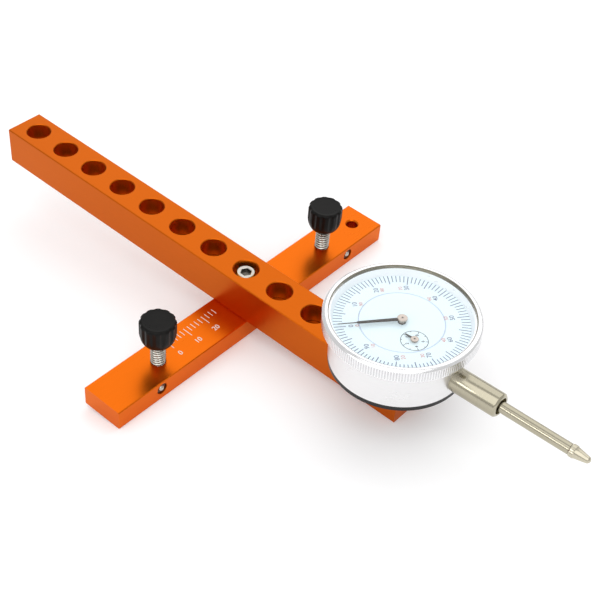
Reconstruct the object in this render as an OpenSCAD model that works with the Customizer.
// Alignment gauge for a machine table: a bar that slides in the table's slot carries a drilled
// extension arm, and the arm's end holds a dial indicator whose plunger lies along the arm.
// Origin: axis of the clamp screw at the slot bar's bottom face. +X runs along the arm to the
// indicator, +Y along the slot bar, +Z up. All sizes in millimetres.

/* [Slot bar] */
// Width of the bar that slides in the table's slot
bar_w = 19.05; // [18:0.05:20]
// Height of the slot bar
bar_h = 8.9; // [8.5:0.1:10]
// Length of the slot bar
bar_l = 157.6; // [150:0.2:180]
// Distance from the clamp screw to each thumbscrew
thumb_y = 49.2; // [46:0.2:52]
// Distance from the clamp screw to each ball plunger
plunger_y = 56.2; // [56:0.2:62]
// Distance from the clamp screw to the spare tapped hole
spare_y = 70; // [69:0.5:72]
// Diameter of the spare tapped hole
spare_d = 5; // [4:0.1:6]

/* [Extension arm] */
// Width of the arm
arm_w = 17.9; // [17:0.1:19]
// Height of the arm
arm_h = 17.3; // [17:0.1:18]
// Length of the arm on the far side of the clamp screw
arm_back = 138; // [135:0.5:150]
// Length of the arm on the indicator's side
arm_front = 86; // [86:0.5:90]
// Spacing of the holes along the arm
hole_pitch = 18.28; // [18:0.02:18.5]
// Diameter of each hole's counterbore
cbore_d = 10.6; // [10.4:0.1:11]
// Depth of each hole's counterbore
cbore_depth = 8.8; // [8.5:0.1:9]
// Diameter of the hole below the counterbore
thru_d = 5.2; // [5.2:0.05:5.3]
// Edge chamfer on both bars
edge = 0.35; // [0.2:0.05:0.5]

/* [Thumbscrews] */
// Diameter of the threaded stud
stud_d = 6.2; // [6:0.05:6.2]
// Height of the knob's lower end above the slot bar's bottom
knob_z = 18.9; // [16.5:0.1:19]
// Height of the knob
knob_h = 11.9; // [11:0.1:12.5]
// Largest diameter of the knob
knob_d = 14.6; // [14:0.1:15]
// Number of flutes round the knob
flutes = 12; // [10:1:14]

/* [Indicator] */
// Place of the indicator's lug screw along the arm
lug_x = 77.6; // [77:0.1:78]
// Height of the indicator's lug screw
lug_z = 20; // [19.5:0.1:20.5]
// Angle by which the indicator leans back, stem upwards
dial_pitch = 2; // [0:0.5:3]
// Outer radius of the case
case_r = 26.15; // [26:0.05:26.4]
// Outer radius of the turning bezel
bezel_r = 29.5; // [29:0.1:30]
// Radius of the fixed centre of the dial
face_r = 16; // [15:0.1:16]
// Diameter of the stem
stem_d = 9.525; // [9:0.025:9.6]
// Distance from the dial's centre to the stem's end
stem_end = 45.8; // [44:0.1:47]
// Diameter of the plunger
spindle_d = 4.4; // [4.2:0.05:4.4]
// Distance from the dial's centre to the plunger's tip
tip_x = 82.6; // [82:0.1:84]

/* [Hidden] */
$fn = 64;

arm_z = bar_h;
arm_top = arm_z + arm_h;
arm_l = arm_back + arm_front;
first_hole = -7;
last_hole = 3;

// clamp screw stack, from the counterbore's floor upwards
clamp_floor = arm_top - cbore_depth;
clamp_d = 5.05;
clamp_head_d = 7.9;
clamp_head_h = 5;
flat_washer_h = 1;
lock_washer_h = 1.2;
clamp_head_z = clamp_floor + flat_washer_h + lock_washer_h;

// ball plungers in the bar's side
plunger_z = 5.2;
plunger_d = 4.9;
plunger_l = 9.1;
plunger_x = bar_w/2 - 0.7;
plunger_bore = 3;
plunger_lip = 2.78;
ball_d = 2.8;
ball_x = plunger_x - 0.45;

// lug joint at the arm's end
lug_t = 6.35;
lug_r = 5.2;
lug_screw_d = 6.2;
lug_hole_d = 6.35;
slot_w = lug_t + 0.12;
slot_back = 6.5;
slot_floor = lug_z - 6.3;
lug_head_d = 10;
lug_head_h = 4.2;

// heights in the indicator's own frame, from the lug screw's axis
cover_z = 10.7;
case_z = 12.6;
shoulder_z = 28.1;
boss_z = 29.2;
face_z = 30;
bezel_z = 28.33;
bezel_top = 34.1;
spindle_z = 18.95;
wall = 2.15;
chamber_r = case_r - wall;
boss_r = 23.6;
front_z = 27.2;
ring_z = 29.35;
glass_z = 33;
dial_r = 25.39;
stem_root = case_r + 0.15;
stem_spigot_r = 4.4;
hand_z = 31.35;
hand_h = 0.25;
// direction of the dial's zero, where the bezel's mark and the main hand stand at rest
zero_angle = 180 + 50.5;

// movement levels
cock_z = 21.7;
cock_h = 0.8;
wheel_z = 23.1;
wheel_h = 0.6;
hair_z = 24.2;
plate_z = 25.4;
plate_h = 1;
plate_r = 21.5;
bridge_z = 14.4;
bridge_h = 1.2;
arbor_r = 0.7;
bearing_r = 0.75;
pillar_r = 1;

// gearing: the rack turns a 16-tooth pinion once in 25.4 mm, a 100-tooth wheel on the same
// arbor turns the 10-tooth centre pinion ten times as fast
travel = 25.4;
rack_teeth = 16;
wheel_teeth = 100;
centre_teeth = 10;
rack_pitch = travel/rack_teeth;
rack_pr = travel/(2*PI);
pinion_x = 9.3;
pinion_y = -4.7;
gear_distance = sqrt(pinion_x*pinion_x + pinion_y*pinion_y);
gear_module = 2*gear_distance/(wheel_teeth + centre_teeth);
gear_angle = atan2(pinion_y, pinion_x);
pressure = 20;
tooth_share = 0.4;
rack_line_y = pinion_y + rack_pr;
rack_add = 0.43;
rack_ded = 0.53;
gear_add = 0.9*gear_module;
gear_ded = 1.1*gear_module;

// guide arm on the plunger's inner end
spindle_in = 2.6;
point_l = 8;
guide_x = 4.2;
guide_t = 3;
guide_z = 17.2;
guide_h = 3.4;
rod_y = 6.4;
rod_r = 0.9;
spring_y = 9.4;
spring_x0 = guide_x + guide_t + 0.3;
spring_x1 = 16.4;
pad_r = 19.5;
screw_ring = 22.5;

// ---------- helpers ----------

// a bar with chamfered long edges, along +X from x = 0, centred on Y and standing on z = 0
module chamfered_bar(l, w, h) {
    rotate([90, 0, 90])
        linear_extrude(l)
            polygon([[-w/2 + edge, 0], [w/2 - edge, 0], [w/2, edge], [w/2, h - edge],
                [w/2 - edge, h], [-w/2 + edge, h], [-w/2, h - edge], [-w/2, edge]]);
}

// a turned part from its half outline
module turned(points) {
    rotate_extrude()
        polygon(points);
}

module along_x() {
    rotate([0, 90, 0])
        children();
}

// the indicator's own frame: origin on the lug screw, +X along the stem, +Z out of the dial
module indicator_frame() {
    translate([lug_x, 0, lug_z])
        rotate([0, -dial_pitch, 0])
            children();
}

function polar(r, a) = [r*cos(a), r*sin(a)];

// involute function in degrees
function involute(a) = tan(a)*180/PI - a;

// half angle of a tooth at radius r
function half_tooth(r, pitch_r, half, base_r) =
    half + involute(pressure) - (r > base_r ? involute(acos(base_r/r)) : 0);

function tooth_outline(a, radii, pitch_r, half, base_r) = concat(
    [for (r = radii) polar(r, a - half_tooth(r, pitch_r, half, base_r))],
    [for (i = [len(radii) - 1:-1:0])
        polar(radii[i], a + half_tooth(radii[i], pitch_r, half, base_r))]);

// a spur gear with one tooth centred on the direction `phase`
module spur_gear(teeth, pitch_r, radii, h, phase) {
    base_r = pitch_r*cos(pressure);
    half = tooth_share*180/teeth;
    linear_extrude(h)
        polygon([for (i = [0:teeth - 1])
            each tooth_outline(phase + i*360/teeth, radii, pitch_r, half, base_r)]);
}

// points of a ring of a helical wire whose axis is +X
function coil_ring(a, r, wire, lead, sides) =
    [for (k = [0:sides - 1])
        let (b = k*360/sides, rr = r + wire*cos(b))
            [lead*a/360 + wire*sin(b), rr*cos(a), rr*sin(a)]];

// an open coil spring along +X, starting at x = wire
module coil(r, wire, length, turns) {
    sides = 6;
    steps = 12*turns;
    lead = (length - 2*wire)/turns;
    points = [for (i = [0:steps]) each coil_ring(i*30, r, wire, lead, sides)];
    last = steps*sides;
    faces = concat(
        [[for (k = [0:sides - 1]) k]],
        [for (i = [0:steps - 1], k = [0:sides - 1])
            let (n = (k + 1)%sides) [i*sides + k, (i + 1)*sides + k, (i + 1)*sides + n]],
        [for (i = [0:steps - 1], k = [0:sides - 1])
            let (n = (k + 1)%sides) [i*sides + k, (i + 1)*sides + n, i*sides + n]],
        [[for (k = [sides - 1:-1:0]) last + k]]);
    translate([wire, 0, 0])
        polyhedron(points, faces, convexity = 10);
}

module hex_socket(across, depth) {
    cylinder(d = across/cos(30), h = depth, $fn = 6);
}

// ---------- slot bar and what is screwed into it ----------

module miter_bar() {
    color("darkorange")
        difference() {
            translate([0, -bar_l/2, 0])
                rotate([0, 0, 90])
                    chamfered_bar(bar_l, bar_w, bar_h);
            translate([0, 0, -1])
                cylinder(d = clamp_d, h = bar_h + 2);
            for (y = [-thumb_y, thumb_y])
                translate([0, y, -1])
                    cylinder(d = stud_d + 0.15, h = bar_h + 2);
            translate([0, spare_y, -1])
                cylinder(d = spare_d, h = bar_h + 2);
            translate([0, spare_y, bar_h - 0.5])
                cylinder(d1 = spare_d, d2 = spare_d + 1.2, h = 0.6);
            for (y = [-plunger_y, plunger_y])
                translate([plunger_x - plunger_l, y, plunger_z])
                    along_x() {
                        cylinder(d = plunger_d, h = plunger_l + 1);
                        translate([0, 0, plunger_l + 0.55])
                            cylinder(d1 = plunger_d, d2 = plunger_d + 0.4, h = 0.2);
                    }
        }
}

module clamp_screw() {
    socket = 4;
    head_r = clamp_head_d/2;
    color("silver")
        difference() {
            union() {
                translate([0, 0, 1])
                    cylinder(d = clamp_d, h = clamp_head_z - 0.5);
                translate([0, 0, clamp_head_z])
                    turned([[0, 0], [head_r, 0], [head_r, clamp_head_h - 0.5],
                        [head_r - 0.5, clamp_head_h], [0, clamp_head_h]]);
            }
            translate([0, 0, clamp_head_z + clamp_head_h - 2.6])
                hex_socket(socket, 3);
        }
}

module clamp_flat_washer() {
    color("silver")
        translate([0, 0, clamp_floor])
            difference() {
                cylinder(d = 10, h = flat_washer_h);
                translate([0, 0, -1])
                    cylinder(d = clamp_d + 0.2, h = 3);
            }
}

module clamp_lock_washer() {
    color("gray")
        translate([0, 0, clamp_floor + flat_washer_h])
            difference() {
                cylinder(d = 8.8, h = lock_washer_h);
                translate([0, 0, -1])
                    cylinder(d = clamp_d + 0.2, h = 4);
                rotate([20, 0, 130])
                    translate([0, -0.25, -2])
                        cube([6, 0.5, 6]);
            }
}

// outline of a plunger body from its closed end, bore towards +Z
module plunger_body(y) {
    lip_h = 0.2;
    floor_h = 1.2;
    outer = plunger_d/2;
    inner = plunger_bore/2;
    color("silver")
        translate([plunger_x - plunger_l, y, plunger_z])
            along_x()
                turned([[0, 0], [outer, 0], [outer, plunger_l - 0.3], [outer - 0.3, plunger_l],
                    [plunger_lip/2, plunger_l], [plunger_lip/2, plunger_l - lip_h],
                    [inner, plunger_l - lip_h], [inner, floor_h], [0, floor_h]]);
}

module plunger_spring(y) {
    start = plunger_x - plunger_l + 1.25;
    color("gray")
        translate([start, y, plunger_z])
            coil(1.05, 0.2, ball_x - ball_d/2 - start - 0.1, 4);
}

module plunger_ball(y) {
    color("white")
        translate([ball_x, y, plunger_z])
            sphere(d = ball_d);
}

// ---------- thumbscrews ----------

module thumb_stud(y) {
    tip_z = 0.6;
    top_z = knob_z + knob_h - 2;
    chamfer = 0.8;
    r = stud_d/2;
    color("silver")
        translate([0, y, 0])
            turned([[0, tip_z], [r - chamfer, tip_z], [r, tip_z + chamfer], [r, top_z], [0, top_z]]);
}

module thumb_knob(y) {
    r = knob_d/2;
    neck_r = 3.6;
    bore_r = stud_d/2 + 0.08;
    bore_h = knob_h - 1.6;
    flute_r = 1.5;
    flute_out = 1.05;
    grip_z = 6.2;
    color([0.12, 0.12, 0.12])
        translate([0, y, knob_z])
            difference() {
                turned([[bore_r, 0], [neck_r, 0], for (a = [0:15:90])
                    [neck_r + 0.4 + (r - neck_r - 0.4)*sin(a), 0.3 + grip_z*(1 - cos(a))],
                    [r, knob_h - 1.3], [r - 0.5, knob_h - 0.5], [r - 1.5, knob_h],
                    [0, knob_h], [0, bore_h], [bore_r, bore_h]]);
                for (i = [0:flutes - 1])
                    rotate([0, 0, i*360/flutes])
                        translate([r + flute_out, 0, -1])
                            cylinder(r = flute_r, h = knob_h + 2);
            }
}

// ---------- extension arm ----------

module extension_arm() {
    mouth = 0.3;
    color("orange")
        difference() {
            translate([-arm_back, 0, arm_z])
                chamfered_bar(arm_l, arm_w, arm_h);
            for (i = [first_hole:last_hole])
                translate([i*hole_pitch, 0, 0]) {
                    cylinder(d = thru_d, h = arm_top);
                    translate([0, 0, clamp_floor])
                        cylinder(d = cbore_d, h = cbore_depth + 1);
                    translate([0, 0, arm_top - mouth])
                        cylinder(d1 = cbore_d, d2 = cbore_d + 2*mouth, h = mouth);
                }
            translate([lug_x - slot_back, -slot_w/2, slot_floor])
                cube([arm_l, slot_w, arm_h]);
            translate([lug_x, 0, lug_z])
                rotate([-90, 0, 0]) {
                    cylinder(d = lug_screw_d, h = arm_w, center = true);
                    cylinder(d = lug_hole_d, h = arm_w);
                    translate([0, 0, arm_w/2 - lug_head_h])
                        cylinder(d = lug_head_d, h = lug_head_h + 1);
                }
            translate([lug_x, -arm_w/2 - 1, lug_z])
                rotate([-90, 0, 0])
                    cylinder(d = lug_screw_d, h = arm_w/2);
        }
}

module lug_screw() {
    head_clear = 0.3;
    head_y = arm_w/2 - lug_head_h;
    length = head_y + arm_w/2 - 0.4;
    color("silver")
        translate([lug_x, head_y, lug_z])
            rotate([90, 0, 0])
                difference() {
                    union() {
                        cylinder(d = lug_screw_d, h = length);
                        translate([0, 0, -lug_head_h + head_clear])
                            cylinder(d = lug_head_d - 2*head_clear, h = lug_head_h - head_clear);
                    }
                    translate([0, 0, -lug_head_h])
                        hex_socket(4.8, 3);
                }
}

// ---------- indicator: case ----------

module cover_holes(d, z, h) {
    for (a = [60, 120, 240, 300])
        translate([screw_ring*cos(a), screw_ring*sin(a), z])
            cylinder(d = d, h = h);
}

module lug_back() {
    rim_r = case_r - 0.05;
    spigot_r = chamber_r - 0.1;
    spigot_h = 0.8;
    color([0.1, 0.1, 0.1])
        indicator_frame()
            difference() {
                union() {
                    translate([0, 0, cover_z])
                        cylinder(r = rim_r, h = case_z - cover_z);
                    translate([0, 0, case_z])
                        cylinder(r = spigot_r, h = spigot_h);
                    rotate([90, 0, 0]) {
                        cylinder(r = lug_r, h = lug_t, center = true);
                        translate([-lug_r, 0, -lug_t/2])
                            cube([2*lug_r, cover_z + 0.1, lug_t]);
                    }
                }
                rotate([90, 0, 0])
                    cylinder(d = lug_hole_d, h = lug_t + 2, center = true);
                cover_holes(1.7, cover_z - 1, 4);
                cover_holes(2.8, cover_z - 1, 1.5);
            }
}

module cover_screws() {
    color("silver")
        indicator_frame() {
            cover_holes(1.5, cover_z + 0.5, case_z - cover_z + 2.7);
            cover_holes(2.6, cover_z + 0.1, 0.4);
        }
}

module case_body() {
    post_h = 5;
    spigot_top = case_z + 0.8;
    groove_z = 28.85;
    groove_h = 0.3;
    groove_r = boss_r - 0.5;
    color([0.92, 0.92, 0.93])
        indicator_frame()
            difference() {
                union() {
                    turned([[chamber_r, case_z], [case_r, case_z], [case_r, shoulder_z - 0.3],
                        [case_r - 0.3, shoulder_z], [boss_r, shoulder_z], [boss_r, groove_z],
                        [groove_r, groove_z], [groove_r, groove_z + groove_h],
                        [boss_r, groove_z + groove_h], [boss_r, boss_z], [0, boss_z],
                        [0, front_z], [chamber_r, front_z]]);
                    intersection() {
                        cover_holes(3.6, spigot_top, post_h);
                        cylinder(r = chamber_r + 0.5, h = front_z);
                    }
                    for (a = [90, 210, 330])
                        translate([pad_r*cos(a), pad_r*sin(a), plate_z + plate_h])
                            cylinder(r = 2.2, h = front_z - plate_z - plate_h + 0.5);
                }
                cylinder(r = 2.5, h = 2*boss_z);
                translate([pinion_x, pinion_y, 0])
                    cylinder(r = 1.6, h = 2*boss_z);
                cover_holes(1.5, spigot_top - 1, 3.6);
                for (a = [90, 210, 330])
                    translate([pad_r*cos(a), pad_r*sin(a), plate_z])
                        cylinder(r = 0.95, h = 2.4);
                translate([0, 0, spindle_z])
                    along_x() {
                        cylinder(r = stem_spigot_r, h = 2*case_r);
                        rotate([180, 0, 0])
                            cylinder(d = 6, h = 2*case_r);
                    }
                translate([-chamber_r - 0.8, rod_y, spindle_z])
                    along_x()
                        cylinder(r = rod_r, h = 2*chamber_r + 1.6);
            }
}

module stem_bush() {
    inner_x = 22.6;
    r = stem_d/2;
    bore_r = spindle_d/2 + 0.06;
    recess_r = 3.3;
    recess = 2;
    chamfer = 0.8;
    color("silver")
        indicator_frame()
            translate([0, 0, spindle_z])
                along_x()
                    turned([[bore_r, inner_x], [stem_spigot_r, inner_x],
                        [stem_spigot_r, stem_root], [r, stem_root], [r, stem_end - chamfer],
                        [r - chamfer, stem_end], [recess_r, stem_end],
                        [recess_r, stem_end - recess], [bore_r, stem_end - recess]]);
}

module top_plug() {
    plug_x = case_r - 0.15;
    plug_h = 2;
    color("silver")
        indicator_frame()
            translate([-plug_x, 0, spindle_z])
                along_x()
                    difference() {
                        cylinder(d = 6, h = plug_h);
                        translate([-4, -0.4, -1])
                            cube([8, 0.8, 1.6]);
                    }
}

module guide_rod() {
    color("silver")
        indicator_frame()
            translate([-chamber_r - 0.6, rod_y, spindle_z])
                along_x()
                    cylinder(r = rod_r, h = 2*chamber_r + 1.2);
}

// ---------- indicator: fixed parts of the movement ----------

module upper_plate() {
    hair_stud_r = 5.7;
    post_x = 17.6;
    color("goldenrod")
        indicator_frame()
            difference() {
                union() {
                    translate([0, 0, plate_z])
                        cylinder(r = plate_r, h = plate_h);
                    translate([-pinion_x + hair_stud_r, -pinion_y, hair_z])
                        cylinder(r = 0.5, h = plate_z - hair_z + 0.2);
                    translate([post_x, spring_y, spindle_z - 1.6])
                        cylinder(r = 0.8, h = plate_z - spindle_z + 1.8);
                }
                for (p = [[0, 0], [pinion_x, pinion_y], [-pinion_x, -pinion_y]])
                    translate([p[0], p[1], plate_z - 1])
                        cylinder(r = bearing_r, h = 4);
                for (a = [90, 210, 330])
                    translate([pad_r*cos(a), pad_r*sin(a), plate_z - 1])
                        cylinder(r = 1.05, h = 4);
            }
}

module centre_cock() {
    half_w = 1.9;
    reach = 12.5;
    color("goldenrod")
        indicator_frame()
            translate([0, 0, cock_z])
                difference() {
                    union() {
                        translate([-half_w, -reach - 1.8, 0])
                            cube([2*half_w, 2*reach + 3.6, cock_h]);
                        translate([-pinion_x, -pinion_y - half_w, 0])
                            cube([pinion_x, 2*half_w, cock_h]);
                        translate([-pinion_x, -pinion_y, 0])
                            cylinder(r = half_w, h = cock_h);
                    }
                    translate([0, 0, -1])
                        cylinder(r = bearing_r, h = 3);
                    translate([-pinion_x, -pinion_y, -1])
                        cylinder(r = bearing_r, h = 3);
                    translate([0, -reach, -1])
                        cylinder(r = pillar_r, h = 3);
                }
}

module lower_bridge() {
    color("goldenrod")
        indicator_frame()
            translate([0, 0, bridge_z])
                difference() {
                    linear_extrude(bridge_h)
                        polygon([[-2, -14.3], [16.6, -15.2], [18.4, -13], [12, -2.6],
                            [6.6, -2.6], [-2, -10.6]]);
                    translate([pinion_x, pinion_y, -1])
                        cylinder(r = bearing_r, h = 4);
                }
}

module movement_pillars() {
    bridge_top = bridge_z + bridge_h;
    cock_top = cock_z + cock_h;
    color("gold")
        indicator_frame() {
            for (p = [[0, -12.5], [16.5, -13.2]])
                translate([p[0], p[1], bridge_top])
                    cylinder(r = pillar_r, h = plate_z - bridge_top);
            translate([0, 12.5, cock_top])
                cylinder(r = pillar_r, h = plate_z - cock_top);
        }
}

module movement_screws() {
    head_h = 0.9;
    color("silver")
        indicator_frame()
            for (a = [90, 210, 330])
                translate([pad_r*cos(a), pad_r*sin(a), plate_z - head_h]) {
                    cylinder(r = 1.7, h = head_h);
                    cylinder(r = 0.9, h = head_h + plate_h + 1);
                }
}

// a flat spiral strip from radius r0 to r1
module hairspring() {
    turns = 4;
    r0 = 1.4;
    r1 = 5;
    half = 0.08;
    steps = 20*turns;
    function spiral(i, side) = polar(r0 + (r1 - r0)*i/steps + side*half, i*360*turns/steps);
    color("steelblue")
        indicator_frame()
            translate([-pinion_x, -pinion_y, hair_z + 0.1])
                linear_extrude(0.6)
                    polygon(concat([for (i = [0:steps]) spiral(i, 1)],
                        [for (i = [steps:-1:0]) spiral(i, -1)]));
}

module return_spring() {
    color("gray")
        indicator_frame()
            translate([spring_x0, spring_y, spindle_z])
                coil(1, 0.2, spring_x1 - spring_x0, 10);
}

module snap_ring() {
    low = 28.88;
    ring_h = 0.24;
    color("gray")
        indicator_frame()
            translate([0, 0, low])
                difference() {
                    cylinder(r = 24.6, h = ring_h);
                    translate([0, 0, -1])
                        cylinder(r = 23.15, h = 3);
                    translate([-27, -1, -1])
                        cube([6, 2, 3]);
                }
}

module dial_face() {
    color("aliceblue")
        indicator_frame()
            translate([0, 0, boss_z])
                difference() {
                    cylinder(r = face_r, h = face_z - boss_z);
                    translate([0, 0, -1])
                        cylinder(r = 1.5, h = 3);
                    translate([pinion_x, pinion_y, -1])
                        cylinder(r = 1.1, h = 3);
                }
}

// ---------- indicator: turning bezel ----------

module bezel_ring() {
    flange_in = boss_r + 0.08;
    flange_top = 28.76;
    seat_r = 25;
    wall_r = dial_r + 0.01;
    glass_r = 27.05;
    color([0.9, 0.9, 0.9])
        indicator_frame()
            turned([[flange_in, bezel_z], [bezel_r - 0.3, bezel_z], [bezel_r, bezel_z + 0.3],
                [bezel_r, 32.4], [bezel_r - 0.25, 33.1], [bezel_r - 0.8, 33.7],
                [bezel_r - 1.5, bezel_top], [27.5, bezel_top], [27.25, 33.9], [glass_r, 33.9],
                [glass_r, glass_z], [26.4, glass_z], [wall_r, 30.4], [wall_r, ring_z],
                [seat_r, ring_z], [seat_r, flange_top], [flange_in, flange_top]]);
}

module crystal() {
    rise = 0.4;
    thickness = 0.8;
    r = 27.03;
    shoulder_r = 20;
    color("lightcyan", 0.35)
        indicator_frame()
            translate([0, 0, glass_z])
                turned([[0, rise], [shoulder_r, rise*0.65], [r, 0], [r, thickness - 0.05],
                    [shoulder_r, thickness + rise*0.65], [0, thickness + rise]]);
}

module dial_ring() {
    color("aliceblue")
        indicator_frame()
            translate([0, 0, ring_z])
                difference() {
                    cylinder(r = dial_r, h = face_z - ring_z);
                    translate([0, 0, -1])
                        cylinder(r = face_r + 0.12, h = 3);
                }
}

// ---------- plunger ----------

module spindle() {
    out_x = tip_x - point_l;
    r = spindle_d/2;
    flat_y = rack_line_y - rack_add;
    root_y = rack_line_y + rack_ded;
    rack_x0 = 5;
    rack_x1 = 39.6;
    gap = (1 - tooth_share)*rack_pitch/2;
    gap_tip = gap + rack_add*tan(pressure);
    gap_root = gap - rack_ded*tan(pressure);
    gaps_right = 18;
    color("silver")
        indicator_frame()
            difference() {
                translate([spindle_in, 0, spindle_z])
                    along_x()
                        turned([[0, 0], [r - 0.3, 0], [r, 0.3], [r, out_x - spindle_in],
                            [0, out_x - spindle_in]]);
                translate([rack_x0, flat_y - 2*r, spindle_z - 2*r])
                    cube([rack_x1 - rack_x0, 2*r, 4*r]);
                for (i = [-1:gaps_right])
                    translate([pinion_x + i*rack_pitch, 0, spindle_z - 2*r])
                        linear_extrude(4*r)
                            polygon([[-gap_tip, flat_y - 0.01], [gap_tip, flat_y - 0.01],
                                [gap_root, root_y], [-gap_root, root_y]]);
            }
}

module contact_point() {
    start = tip_x - point_l;
    collar_r = 2.5;
    collar_end = start + 2.3;
    ball_r = 1.4;
    color("silver")
        indicator_frame()
            translate([0, 0, spindle_z])
                along_x()
                    turned(concat([[0, start], [spindle_d/2, start], [collar_r, start + 0.4],
                        [collar_r, collar_end - 0.3], [collar_r - 0.25, collar_end]],
                        [for (a = [8:82/6:90]) [ball_r*cos(a), tip_x - ball_r + ball_r*sin(a)]]));
}

module guide_arm() {
    end_y = 10.6;
    color("goldenrod")
        indicator_frame()
            difference() {
                translate([guide_x, 0, guide_z])
                    cube([guide_t, end_y, guide_h]);
                translate([0, 0, spindle_z])
                    along_x()
                        cylinder(d = spindle_d, h = 20);
                translate([0, rod_y, spindle_z])
                    along_x()
                        cylinder(r = rod_r + 0.08, h = 20);
            }
}

// ---------- gear train ----------

module rack_pinion() {
    teeth_z = 16.7;
    teeth_h = 4.5;
    color("gold")
        indicator_frame()
            translate([pinion_x, pinion_y, 0]) {
                translate([0, 0, bridge_z + 0.1])
                    cylinder(r = arbor_r, h = 31 - bridge_z - 0.1);
                translate([0, 0, teeth_z])
                    spur_gear(rack_teeth, rack_pr, [rack_pr - 0.53, rack_pr, rack_pr + 0.42],
                        teeth_h, 90);
            }
}

module gear_wheel() {
    pr = gear_module*wheel_teeth/2;
    color("gold")
        indicator_frame()
            translate([pinion_x, pinion_y, wheel_z])
                difference() {
                    spur_gear(wheel_teeth, pr, [pr - gear_ded, pr + gear_add], wheel_h,
                        gear_angle + 180);
                    translate([0, 0, -1])
                        cylinder(r = arbor_r, h = 3);
                }
}

module takeup_wheel() {
    pr = gear_module*wheel_teeth/2;
    color("gold")
        indicator_frame()
            translate([-pinion_x, -pinion_y, 0]) {
                translate([0, 0, cock_z + 0.1])
                    cylinder(r = arbor_r, h = plate_z + plate_h - cock_z - 0.2);
                translate([0, 0, wheel_z])
                    spur_gear(wheel_teeth, pr, [pr - gear_ded, pr + gear_add], wheel_h, gear_angle);
                translate([0, 0, hair_z])
                    cylinder(r = 1.2, h = 0.8);
            }
}

module centre_pinion() {
    pr = gear_module*centre_teeth/2;
    color("gold")
        indicator_frame() {
            translate([0, 0, cock_z + 0.1])
                cylinder(r = arbor_r, h = 31.9 - cock_z - 0.1);
            translate([0, 0, wheel_z - 0.1])
                spur_gear(centre_teeth, pr, [pr - gear_ded, pr, pr + gear_add*0.5, pr + gear_add],
                    wheel_h + 0.2, gear_angle + 180/centre_teeth);
        }
}

// ---------- hands ----------

module main_hand() {
    hub_r = 1.2;
    broad = 0.75;
    broad_end = 16.4;
    tip = 24;
    color([0.15, 0.1, 0.08])
        indicator_frame()
            translate([0, 0, hand_z])
                rotate([0, 0, zero_angle])
                    difference() {
                        union() {
                            cylinder(r = 1.8, h = hand_h);
                            linear_extrude(hand_h)
                                polygon([[0, -broad], [broad_end, -broad*0.75],
                                    [broad_end + 0.6, -0.16], [tip, -0.1], [tip, 0.1],
                                    [broad_end + 0.6, 0.16], [broad_end, broad*0.75], [0, broad]]);
                        }
                        translate([0, 0, -1])
                            cylinder(r = hub_r, h = 3);
                    }
}

module main_hub() {
    color("silver")
        indicator_frame()
            turned([[arbor_r, face_z + 0.25], [1.2, face_z + 0.25], [1.2, hand_z + hand_h],
                [1.9, hand_z + hand_h], [1.9, 32.1], [1.75, 32.25], [arbor_r, 32.25]]);
}

module counter_hand() {
    hand_r = 4.2;
    color([0.1, 0.1, 0.1])
        indicator_frame()
            translate([pinion_x, pinion_y, 30.6])
                rotate([0, 0, 180])
                    difference() {
                        union() {
                            cylinder(r = 1.4, h = 0.2);
                            linear_extrude(0.2)
                                polygon([[0, -0.5], [hand_r, -0.22], [hand_r, 0.22], [0, 0.5]]);
                        }
                        translate([0, 0, -1])
                            cylinder(r = 1, h = 3);
                    }
}

module counter_hub() {
    color("silver")
        indicator_frame()
            translate([pinion_x, pinion_y, 0])
                turned([[arbor_r, face_z + 0.15], [1, face_z + 0.15], [1, 30.8], [1.5, 30.8],
                    [1.5, 31], [1.35, 31.1], [arbor_r, 31.1]]);
}

module near_plunger_body() { plunger_body(-plunger_y); }
module far_plunger_body() { plunger_body(plunger_y); }
module near_plunger_spring() { plunger_spring(-plunger_y); }
module far_plunger_spring() { plunger_spring(plunger_y); }
module near_plunger_ball() { plunger_ball(-plunger_y); }
module far_plunger_ball() { plunger_ball(plunger_y); }
module near_thumb_stud() { thumb_stud(-thumb_y); }
module far_thumb_stud() { thumb_stud(thumb_y); }
module near_thumb_knob() { thumb_knob(-thumb_y); }
module far_thumb_knob() { thumb_knob(thumb_y); }

miter_bar();
clamp_screw();
clamp_flat_washer();
clamp_lock_washer();
near_plunger_body();
far_plunger_body();
near_plunger_spring();
far_plunger_spring();
near_plunger_ball();
far_plunger_ball();
near_thumb_stud();
far_thumb_stud();
near_thumb_knob();
far_thumb_knob();
extension_arm();
lug_screw();
lug_back();
cover_screws();
case_body();
stem_bush();
top_plug();
guide_rod();
upper_plate();
centre_cock();
lower_bridge();
movement_pillars();
movement_screws();
hairspring();
return_spring();
snap_ring();
dial_face();
bezel_ring();
crystal();
dial_ring();
spindle();
contact_point();
guide_arm();
rack_pinion();
gear_wheel();
counter_hand();
counter_hub();
centre_pinion();
main_hand();
main_hub();
takeup_wheel();
